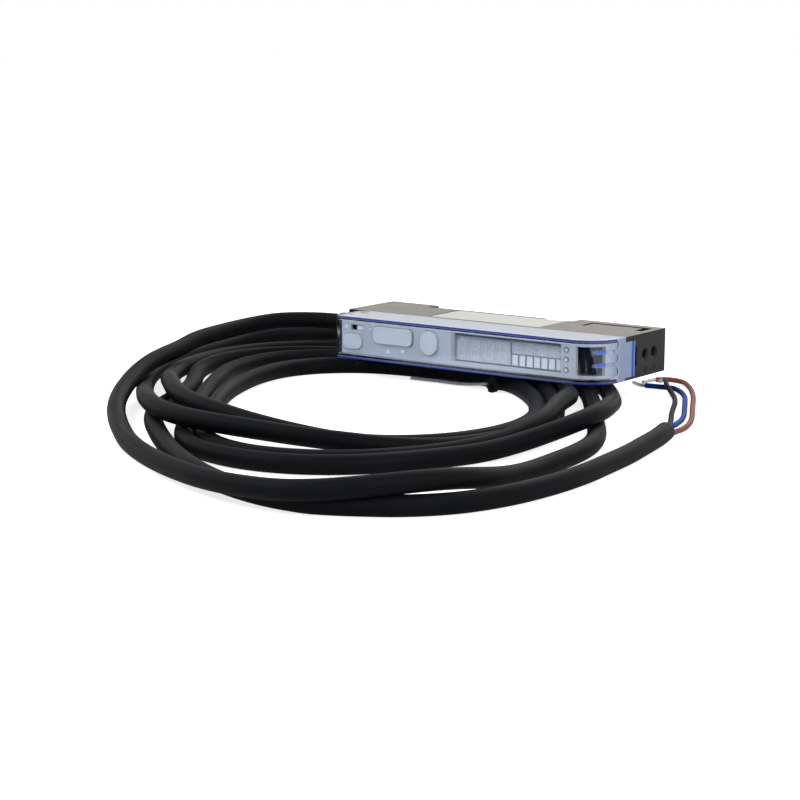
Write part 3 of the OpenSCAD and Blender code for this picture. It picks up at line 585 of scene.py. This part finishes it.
def clear_cover():
    """Blue clear plastic: pale through a wall, and painted deep blue, as a glow of light led
    through the plastic, where a wall is seen edge-on and at every corner.

    The depth below the outer wall is the corner's radius less the distance past the
    corner's middle, so that it holds along both straight walls and round the corner.
    """
    m = Recipe("clear_cover")
    m.polish(700, 0.04, 0.08)
    m.soften(0.25 * MM)
    axes = m.axes()
    x, y, z = axes["X"], axes["Y"], axes["Z"]
    past_x = m.work("MAXIMUM", m.work("SUBTRACT", x, CORNER_X), 0)
    past_y = m.work("MAXIMUM", m.work("SUBTRACT", CORNER_Y, y), 0)
    depth = m.work("SUBTRACT", CORNER_R, m.away(past_x, past_y))
    height = m.work("ABSOLUTE", z)

    # The edges are painted deep blue, as a glow of light led through the plastic, over their outer
    # 0.3 mm, and the blue is gone at 0.6 mm
    full, gone = 0.3 * MM, 0.6 * MM
    outer = m.under(depth, full, gone)
    long_edge = m.among(outer, m.over(height, COVER_TOP - gone, COVER_TOP - full))
    left_edge = m.among(outer, m.under(x, COVER_LEFT + full, COVER_LEFT + gone))
    edges = m.work("MAXIMUM", long_edge, left_edge)

    # The two gussets inside the round corner, 0.8 mm thick, and the tab's lip are painted bright
    # blue where they end, as the glow of light led along them
    level = m.work("ABSOLUTE", m.work("SUBTRACT", z, GUSSET_MID))
    level = m.work("ABSOLUTE", m.work("SUBTRACT", level, GUSSET_GAP / 2))
    gusset = m.among(
        m.under(level, 0.36 * MM, 0.46 * MM),
        m.over(depth, 0.85 * MM, 0.98 * MM),
        m.over(past_x, 4.3 * MM, 4.5 * MM),
        m.under(past_x, 5.8 * MM, 6.1 * MM),
        m.over(past_y, 0.8 * MM, 1 * MM),
    )
    lip = m.among(
        m.over(y, LIP_Y - 0.15 * MM, LIP_Y), m.over(x, END_X - 1.2 * MM, END_X - 1 * MM)
    )
    rib_and_lip_glow = m.work("MAXIMUM", gusset, lip)

    # A painted highlight line runs 19.3 mm from the rail seat at its cusps, one at each
    # gusset's height, and 1 mm nearer between them; the end beyond it is painted pale, as a
    # reflection of the surroundings
    wave = m.work("MULTIPLY", m.work("SUBTRACT", z, GUSSET_MID), math.pi / GUSSET_GAP)
    swell = m.work("MULTIPLY", m.work("ABSOLUTE", m.work("COSINE", wave)), 1 * MM)
    beyond = m.work("SUBTRACT", m.work("ADD", y, 19.3 * MM), swell)
    highlight_line = m.among(m.under(m.work("ABSOLUTE", beyond), 0.15 * MM, 0.25 * MM), outer)
    reflecting_end = m.among(m.over(beyond, 0, 0.1 * MM), outer)

    # Painted light: glow on the edges, a pale reflection on the end, glow on the gussets and the
    # lip, and a highlight line
    tint = m.blend(edges, rgb(240, 243, 248), rgb(62, 86, 196))
    tint = m.blend(reflecting_end, tint, rgb(180, 206, 248))
    tint = m.blend(rib_and_lip_glow, tint, rgb(92, 140, 240))
    tint = m.blend(highlight_line, tint, rgb(226, 236, 255))
    m.join(tint, "Base Color")
    # Light scatters where the glow, the highlight line and the pale end are painted, and goes
    # straight on elsewhere
    glow_and_highlight = m.work("MULTIPLY", m.work("MAXIMUM", m.work("MAXIMUM", edges, rib_and_lip_glow), highlight_line), 0.6)
    scatter = m.work("MAXIMUM", glow_and_highlight, m.work("MULTIPLY", reflecting_end, 0.5))
    m.join(m.work("SUBTRACT", 1, scatter), "Transmission Weight")
    m.set(IOR=1.45)
    within = {"Color": (0.2, 0.42, 0.82, 1), "Density": 240}
    body = m.add("ShaderNodeVolumeAbsorption", within).outputs["Volume"]
    m.feed(body, m.output.inputs["Volume"])
    return m.material


def window_plastic():
    """Lightly frosted window over the display, of nearly the panel's own tone.

    Its end next to the set button is printed on the back, so that it lets little through.
    """
    m = Recipe("window_plastic")
    m.polish(500, 0.16, 0.24)
    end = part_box("display_window")[0][0]
    clear = m.over(m.axes()["X"], end + 0.9 * MM, end + 1 * MM)
    m.join(m.blend(clear, rgb(166, 169, 166), rgb(240, 242, 244)), "Base Color")
    m.join(m.work("MULTIPLY", clear, 0.95), "Transmission Weight")
    m.set(IOR=1.3)
    return m.material


def jacket(name, dark, light, roughness, gloss):
    """Flexible sheath: matt sheen with fine draw lines along it and specks of dust."""
    m = Recipe(name)
    stretch = m.add("ShaderNodeMapping", {"Vector": m.coordinates["UV"], "Scale": (14, 40, 1)})
    lines = m.noise(1, at=stretch.outputs["Vector"])
    dust = m.over(m.noise(1500, detail=2), 0.75, 0.79)
    m.join(m.blend(dust, m.clouds(60, dark, light), rgb(62, 64, 69)), "Base Color")
    m.join(m.spread(lines, roughness - 0.06, roughness + 0.08), "Roughness")
    m.bump(m.noise(1800), 0.15, 0.02 * MM)
    m.set(Specular_IOR_Level=gloss)
    return m.material


def metal(name, colour, roughness):
    """Plain metal with a fine uneven polish."""
    m = Recipe(name)
    m.join(m.clouds(3000, colour, dimmed(colour, 0.8)), "Base Color")
    m.polish(1000, roughness - 0.08, roughness + 0.08)
    m.set(Metallic=1.0)
    return m.material


def display_face():
    """Unlit display: an even face, and paler strokes where they stand in front of it."""
    m = Recipe("display_face")
    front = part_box("digit_display_left")[0][1]
    strokes = m.under(m.axes()["Y"], front + 0.03 * MM, front + 0.07 * MM)
    face = m.clouds(800, rgb(200, 201, 198), rgb(207, 208, 205))
    m.join(m.blend(strokes, face, rgb(226, 227, 224)), "Base Color")
    m.set(Roughness=0.45)
    return m.material


def milky_knob():
    """Milky knob of the slide switch."""
    m = Recipe("milky_knob")
    m.join(m.clouds(900, rgb(222, 223, 220), rgb(232, 233, 230)), "Base Color")
    m.set(Roughness=0.35)
    return m.material


def bar_face():
    """Light pipe of the bars: milky on its face, as dark as the panel down its sides."""
    m = Recipe("bar_face")
    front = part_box("bar_guide")[0][1]
    side = m.over(m.axes()["Y"], front + 0.04 * MM, front + 0.12 * MM)
    milk = m.clouds(900, rgb(238, 239, 236), rgb(247, 248, 245))
    m.join(m.blend(side, milk, rgb(176, 178, 176)), "Base Color")
    m.set(Roughness=0.35)
    return m.material


def lamp_face():
    """Signal lamps: a dark ring round a pale middle, at every lamp's height."""
    m = Recipe("lamp_face")
    axes = m.axes()
    aside = m.work("SUBTRACT", axes["X"], LAMP_X)
    up = m.work("WRAP", m.work("SUBTRACT", axes["Z"], LAMP_Z), LAMP_PITCH / 2, -LAMP_PITCH / 2)
    ring = m.over(m.away(aside, up), 0.36 * MM, 0.44 * MM)
    milk = m.clouds(900, rgb(206, 208, 206), rgb(222, 223, 221))
    m.join(m.blend(ring, milk, rgb(112, 116, 124)), "Base Color")
    m.set(Roughness=0.3)
    return m.material


def lens(name, colour):
    """Epoxy lens of a diode."""
    m = Recipe(name)
    m.join(m.clouds(900, colour, rgb(90, 90, 95)), "Base Color")
    m.set(Roughness=0.12, Transmission_Weight=0.3)
    return m.material


def ink(name, colour):
    """Flat colour of a mark that thins a little in places: printed ink on the panel, and the
    painted shade of an engraving on the end face.
    """
    m = Recipe(name)
    m.join(m.clouds(3000, colour, dimmed(colour, 0.85)), "Base Color")
    m.set(Roughness=0.6, Specular_IOR_Level=0.2)
    return m.material


panel_plastic = moulded(
    "panel_plastic", rgb(180, 183, 179), rgb(190, 193, 189), 0.4, depth=0.01
).material
button_plastic = moulded(
    "button_plastic", rgb(202, 205, 198), rgb(211, 213, 207), 0.35, depth=0.005, edge=0.3
).material
clamp_plastic = moulded("clamp_plastic", rgb(150, 150, 152), rgb(160, 160, 162), 0.45).material
chip_plastic = moulded("chip_plastic", rgb(24, 24, 25), rgb(34, 34, 35), 0.5).material
board_laminate = moulded("board_laminate", rgb(22, 70, 44), rgb(28, 84, 54), 0.35).material
# The upward faces of the case and the latch carry a painted sheen
case_plastic = sheen_topped_moulded("case_plastic", rgb(35, 35, 36), rgb(41, 41, 42))
latch_plastic = sheen_topped_moulded("latch_plastic", rgb(32, 32, 34), rgb(38, 38, 40))
black_plastic = dull_moulded("black_plastic", rgb(17, 17, 19), rgb(24, 24, 27))
switch_grey = dull_moulded("switch_grey", rgb(198, 202, 208), rgb(208, 212, 218))
lever_plastic = dull_moulded("lever_plastic", rgb(9, 12, 24), rgb(14, 17, 33), edge=0.2)
black_jacket = jacket("black_jacket", rgb(10, 11, 13), rgb(15, 16, 19), 0.55, 0.05)
brown_insulation = jacket("brown_insulation", rgb(120, 62, 48), rgb(134, 72, 56), 0.45, 0.06)
blue_insulation = jacket("blue_insulation", rgb(10, 64, 136), rgb(14, 76, 152), 0.45, 0.02)
black_insulation = jacket("black_insulation", rgb(18, 20, 23), rgb(26, 28, 32), 0.55, 0.05)
tie_black = jacket("tie_black", rgb(9, 9, 10), rgb(14, 14, 16), 0.4, 0.1)
tie_grey = jacket("tie_grey", rgb(196, 196, 196), rgb(210, 210, 210), 0.45, 0.3)
steel = metal("steel", rgb(190, 190, 192), 0.3)
pin_metal = metal("pin_metal", rgb(206, 186, 140), 0.3)
tinned_wire = metal("tinned_wire", rgb(196, 196, 196), 0.35)
pale_ink = ink("pale_ink", rgb(226, 232, 240))
# The engraved end marks are painted near black, as the shade inside the engraving
engraving_shade = ink("engraving_shade", rgb(6, 6, 8))

FINISH = {
    "main_case": case_plastic,
    "side_cover": case_plastic,
    "label_plate": label_foil(),
    "front_cover": clear_cover(),
    "front_panel": panel_plastic,
    "display_window": window_plastic(),
    "digit_display_left": display_face(),
    "mode_button": button_plastic,
    "value_rocker": button_plastic,
    "set_button": button_plastic,
    "switch_knob": milky_knob(),
    "bar_guide": bar_face(),
    "lamp_guide": lamp_face(),
    "switch_body": switch_grey,
    "tact_switches": steel,
    "panel_board": board_laminate,
    "main_board": board_laminate,
    "board_parts": chip_plastic,
    "board_header": pin_metal,
    "optics_holder": black_plastic,
    "emitter_led": lens("lens_red", rgb(200, 40, 40)),
    "receiver_diode": lens("lens_dark", rgb(30, 28, 36)),
    "lock_lever": lever_plastic,
    "lever_pin": steel,
    "clamp_slide": clamp_plastic,
    "rail_latch": latch_plastic,
    "latch_spring": steel,
}
FINISH["digit_display_right"] = FINISH["digit_display_left"]

for name, finish in FINISH.items():
    nodes[name].material_slots[0].material = finish

# Light reaches the panel through the clear pieces
for name in ("front_cover", "display_window"):
    nodes[name].visible_shadow = False


def finished(piece, material):
    """Gives a new piece its material and slot, and lets it ride on the housing."""
    piece.data.materials.append(material)
    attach(piece, "housing")
    return piece


# The lead and its ends


def make_lead(line):
    """The lead in its coil, with softly rounded cut edges."""
    body, radius = rounded_ends(line, CABLE_D / 2, 0.3 * MM)
    lead = finished(swept_tube("lead", body, radius, 24), black_jacket)
    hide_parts("cable_lead", "cable_coil", "cable_tail")


def make_wire(name, route, tip_end, material, node):
    """One conductor, from inside the cut jacket to the start of its tinned end.

    The tinned end starts 0.4 mm inside the insulation, leaves it straight for 0.8 mm and
    runs to the tip's end near the floor.
    """
    line = smooth_curve(points(route, WIRE_Z / MM), 0.6 * MM)
    ahead = line[-1] - line[-2]
    ahead /= np.linalg.norm(ahead)
    tip = points([tip_end], WIRE_Z / MM)[0]
    bare = np.array([line[-1] - 0.4 * MM * ahead, line[-1] + 0.8 * MM * ahead, tip])
    body, radius = rounded_ends(line, WIRE_D / 2, 0.12 * MM)
    wire = finished(swept_tube(name, body, radius, 14), material)
    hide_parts(node)
    tinned = tinned_end(name + "_tip", smooth_curve(bare, 0.25 * MM))
    return tinned


def tinned_end(name, line):
    """Seven twisted strands, soldered together: six helices of 1.5 turns round a straight one."""
    _, side, other = frames_along(line)
    strand_r, helix_r, around = 0.17 * MM, 0.3 * MM, 8
    twist = np.linspace(0, 3 * np.pi, len(line))
    vertices, faces = [], []
    for k in range(7):
        reach = 0 if k == 6 else helix_r
        angle = (twist + k * np.pi / 3)[:, None]
        centre = line + reach * (side * np.cos(angle) + other * np.sin(angle))
        start = k * around * len(line)
        vertices.append(tube_rings(centre, strand_r, around).reshape(-1, 3))
        faces += [[start + v for v in face] for face in tube_faces(len(line), around)]
    piece = new_piece(name, np.vstack(vertices), faces)
    return finished(piece, tinned_wire)


lead_route = route_of_lead()
make_lead(lead_route)
tips = [
    make_wire(
        "brown_conductor", BROWN, (36.7, 10.5), brown_insulation, "wire_brown"
    ),
    make_wire("blue_conductor", BLUE, (35, 9), blue_insulation, "wire_blue"),
    make_wire(
        "black_conductor", BLACK, (39.5, 13.5), black_insulation, "wire_black"
    ),
]
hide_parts("wire_tips")


def relief_boot():
    """Ribbed boot: a cone about the lead whose radius dips at five grooves.

    The radius at the distance s from the housing is 3.6 mm falling evenly to 2.35 mm,
    less 0.45 mm in each groove, whose flanks are steep sines. Both ends close on the lead.
    """
    far_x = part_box("strain_relief")[0][0]
    length, around = 9 * MM, 40
    s = np.concatenate([[0], np.linspace(0, length, 90)])
    radius = (3.6 - 1.25 * s / length) * MM
    ribbed = (s > 1 * MM) & (s < length - 0.6 * MM)
    wave = np.clip(2.5 * np.sin(2 * np.pi * (s / length * 5.5 - 0.4)), -1, 1)
    radius -= 0.45 * MM * (0.5 + 0.5 * wave) * ribbed
    radius[0] = 2.1 * MM
    radius = np.append(radius, 2.02 * MM)
    s = np.append(s, length)
    lead_y = np.full_like(s, LEAD[0][1] * MM)
    line = np.stack([far_x + length - s, lead_y, np.zeros_like(s)], axis=1)
    angle = turned(around)
    ring = np.stack([np.zeros(around), np.cos(angle), np.sin(angle)], axis=1)
    vertices = (line[:, None, :] + radius[:, None, None] * ring[None, :, :]).reshape(-1, 3)
    faces = [f[::-1] for f in tube_faces(len(s), around)]
    boot = finished(new_piece("relief_boot", vertices, faces), black_plastic)
    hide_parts("strain_relief")


def ribbon(name, line, across, out, half_width, half_thick, material, closed=False):
    """A flat strip with a raised rib along its middle, carried along a line.

    Its section is 13 points over the top, whose height is the half thickness plus a
    Gaussian rib, and 13 back along the flat underside. A closed ribbon is a loop.
    """
    edge = np.linspace(-1, 1, 13)
    rise = half_thick + 0.8 * half_thick * np.exp(-((edge / 0.22) ** 2))
    upper = np.stack([half_width * edge, rise], axis=1)
    lower = np.stack([half_width * edge[::-1], np.full_like(edge, -half_thick)], axis=1)
    section = np.vstack([upper, lower])
    grid = (
        line[:, None, :]
        + section[None, :, :1] * across[:, None, :]
        + section[None, :, 1:] * out[:, None, :]
    )
    rows, around = grid.shape[:2]
    if closed:
        faces = [[v % (rows * around) for v in f] for f in grid_faces(rows + 1, around)]
    else:
        faces = tube_faces(rows, around)
    piece = new_piece(name, grid.reshape(-1, 3), faces, wrapped_uv(line, around), smooth=False)
    return finished(piece, material)


def tie_loop(line):
    """The tie's loop, pulled tight round the runs of the lead at the back of the coil.

    In the plane across the runs, the point of the loop that faces an angle is the middle
    of the run that lies furthest that way, plus the run's radius and the strip's thickness
    along the angle. Between two runs it is straight.
    """
    front_of_back, thick, off_floor = -30 * MM, 0.25 * MM, 0.15 * MM
    x, y, _ = line.T
    cross = (x[:-1] - TIE_X) * (x[1:] - TIE_X) < 0
    back = cross & (y[:-1] > front_of_back)
    middles = line[:-1][back][:, 1:]
    angle = turned(180)
    facing = np.stack([np.cos(angle), np.sin(angle)], axis=1)
    furthest = np.argmax(facing @ middles.T, axis=1)
    loop = middles[furthest] + (CABLE_D / 2 + thick) * facing
    loop[:, 1] = np.maximum(loop[:, 1], FLOOR_Z + off_floor)
    loop = resample(np.vstack([loop, loop[:1]]), 0.5 * MM)[:-1]
    centres = np.column_stack([np.full(len(loop), TIE_X), loop])
    run = np.roll(centres, -1, axis=0) - np.roll(centres, 1, axis=0)
    run /= np.linalg.norm(run, axis=1)[:, None]
    across = np.tile((1.0, 0, 0), (len(loop), 1))
    out = np.cross(run, across)
    piece = ribbon(
        "tie_loop", centres, across, out, 2.1 * MM, 0.13 * MM, tie_black, closed=True
    )
    return piece, centres[:, 1].min()


def tie_twist(front):
    """The two ends of the tie twisted together: ribbons whose width turns about their path.

    The ends wind 1.5 turns round a shared middle line, at half a turn from each other and
    0.36 mm from it, and open out by 0.4 mm over the last quarter. The middle line leads
    3.6 mm out from the loop's front, 1.4 mm aside and 0.9 mm down.
    """
    s = np.linspace(0, 1, 90)
    middle = np.stack(
        [TIE_X + (0.6 + 1.4 * s) * MM, front - 3.6 * s * MM, (-7.9 - 0.9 * s) * MM], axis=1
    )
    ahead, side, other = frames_along(middle)
    turn = 2 * np.pi * 1.5 * s
    opening = 0.4 * np.maximum(s - 0.75, 0) / 0.25
    reach = (0.36 + opening)[:, None] * MM
    for start, end in ((0, "a"), (np.pi, "b")):
        angle = (turn + start)[:, None]
        out = side * np.cos(angle) + other * np.sin(angle)
        across = np.cross(out, ahead)
        path = middle + reach * out
        ribbon("tie_twist_" + end, path, across, out, 1.05 * MM, 0.3 * MM, tie_black)


def tie_strip_end():
    """The tie's bare end, grey on this side, which lies along the foot of the bundle.

    Its face is tilted towards the control side.
    """
    line = smooth_curve(np.array(STRIP_END) * MM, 0.5 * MM)
    lean = math.radians(35)
    ahead, side, other = frames_along(line)
    across = math.sin(lean) * other + math.cos(lean) * side
    out = np.cross(across, ahead)
    ribbon("tie_strip_end", line, across, out, 0.42 * MM, 0.1 * MM, tie_grey)


def make_tie(line):
    """The loop, its two twisted ends and the bare end."""
    loop, front = tie_loop(line)
    tie_twist(front)
    tie_strip_end()
    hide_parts("twist_tie")


relief_boot()
make_tie(lead_route)


# Marks


def marks(name, shapes, place, material):
    """Thin marks, of printed ink on the panel and of the painted shade of an engraving on the end
    face. Each shape is an outline in millimetres on a plane.

    place(u, v, w) turns the plane's two measures and the height above it into the part's
    own frame. An outline runs anticlockwise as seen from outside.
    """
    sunk, proud = -0.02, 0.03
    vertices, faces = [], []
    for outline in shapes:
        n, start = len(outline), len(vertices)
        vertices += [place(u, v, sunk) for u, v in outline]
        vertices += [place(u, v, proud) for u, v in outline]
        faces.append([start + k for k in range(n - 1, -1, -1)])
        faces.append([start + n + k for k in range(n)])
        for k in range(n):
            j = (k + 1) % n
            faces.append([start + k, start + j, start + n + j, start + n + k])
    piece = new_piece(name, np.array(vertices) * MM, faces, smooth=False)
    return finished(piece, material)


def bar(u, v, wide, high):
    """A rectangle about its middle."""
    a, b = wide / 2, high / 2
    return [(u - a, v - b), (u + a, v - b), (u + a, v + b), (u - a, v + b)]


def triangle(u, v, wide, high):
    """A triangle on its base, or on its point with a negative height."""
    a, b = wide / 2, high / 2
    if high > 0:
        return [(u - a, v - b), (u + a, v - b), (u, v + b)]
    return [(u - a, v - b), (u, v + b), (u + a, v - b)]


def disc(u, v, wide):
    """A disc of 20 corners."""
    return [(u + wide / 2 * math.cos(t), v + wide / 2 * math.sin(t)) for t in turned(20)]


def on_panel(u, v, w):
    """On the panel's face, seen from the control side."""
    return (u, PANEL_Y / MM - w, v)


def on_end(u, v, w):
    """On the end face, seen from the fibre end."""
    return (END_X / MM + w, u, v)


# Up and down at the rocker, and a dot and a bar for the two places of the switch
marks(
    "panel_marks",
    [
        triangle(-12.4, -2.4, 1.3, 1.1),
        triangle(-8.3, -2.4, 1.3, -1.1),
        disc(-24.6, 2.35, 0.8),
        bar(-17.6, 2.35, 0.9, 0.3),
    ],
    on_panel,
    pale_ink,
)
# An arrow out of the upper port's fibre and one into the lower port's, engraved, whose dark colour
# is painted shade
marks(
    "port_marks",
    [
        triangle(-5.7, -3.1, 1.5, 1.1),
        bar(-5.7, -4.0, 0.5, 0.7),
        triangle(-1.7, -3.8, 1.5, -1.1),
        bar(-1.7, -2.9, 0.5, 0.7),
    ],
    on_end,
    engraving_shade,
)

# Floor and light


def lit_backdrop():
    """Pale floor that keeps its shadow and looks white to the camera and in reflections."""
    m = Recipe("pale_floor")
    ray = m.add("ShaderNodeLightPath").outputs
    m.join(m.clouds(6, (0.8, 0.8, 0.8, 1), (0.82, 0.82, 0.82, 1)), "Base Color")
    seen = m.work("MAXIMUM", ray["Is Camera Ray"], ray["Is Transmission Ray"])
    mirrored = m.work("MULTIPLY", ray["Is Glossy Ray"], 0.2)
    m.join(m.work("ADD", m.work("MULTIPLY", seen, 0.78), mirrored), "Emission Strength")
    m.set(Roughness=0.9, Emission_Color=(1, 1, 1, 1), Specular_IOR_Level=0.0)
    return m.material


def make_floor():
    """A disc under the object, as rings of a growing radius, all level."""
    around, rings, reach = 96, 12, 3.0
    radius = reach * (np.arange(1, rings + 1) / rings)
    angle = turned(around)
    x = radius[:, None] * np.cos(angle)[None, :]
    y = radius[:, None] * np.sin(angle)[None, :]
    vertices = np.stack([x, y, np.full_like(x, FLOOR_Z)], axis=2).reshape(-1, 3)
    faces = [list(range(around))] + [f[::-1] for f in grid_faces(rings, around)]
    floor = new_piece("floor", vertices, faces, smooth=False, closed=False)
    floor.data.materials.append(lit_backdrop())


def light_room():
    """Even pale surroundings: plain light on the object, white to the camera."""
    world = bpy.data.worlds.new("surroundings")
    bpy.context.scene.world = world
    world.use_nodes = True
    sky = Tree(world.node_tree)
    back = sky.tree.nodes["Background"].inputs
    back["Color"].default_value = (1, 1, 1, 1)
    ray = sky.add("ShaderNodeLightPath").outputs
    seen = sky.work("MAXIMUM", ray["Is Camera Ray"], ray["Is Glossy Ray"])
    seen = sky.work("MAXIMUM", seen, ray["Is Transmission Ray"])
    sky.feed(sky.spread(seen, 0.35, 1.0, 0, 1), back["Strength"])


def area_lamp(name, at, size, power):
    """A soft square lamp that faces the housing."""
    data = bpy.data.lights.new(name, "AREA")
    data.size = size
    data.energy = power
    lamp = bpy.data.objects.new(name, data)
    lamp.location = at
    lamp.rotation_mode = "QUATERNION"
    towards = Vector((0, -0.05, 0)) - Vector(at)
    lamp.rotation_quaternion = towards.to_track_quat("-Z", "Y")
    bpy.context.scene.collection.objects.link(lamp)


make_floor()
light_room()
area_lamp("key_lamp", (-0.5, -0.6, 0.9), 0.6, 7)
area_lamp("fill_lamp", (0.9, -0.4, 0.6), 0.7, 5)
area_lamp("back_lamp", (-0.2, 0.9, 0.7), 0.8, 3.5)

bpy.context.scene.view_settings.view_transform = "Standard"
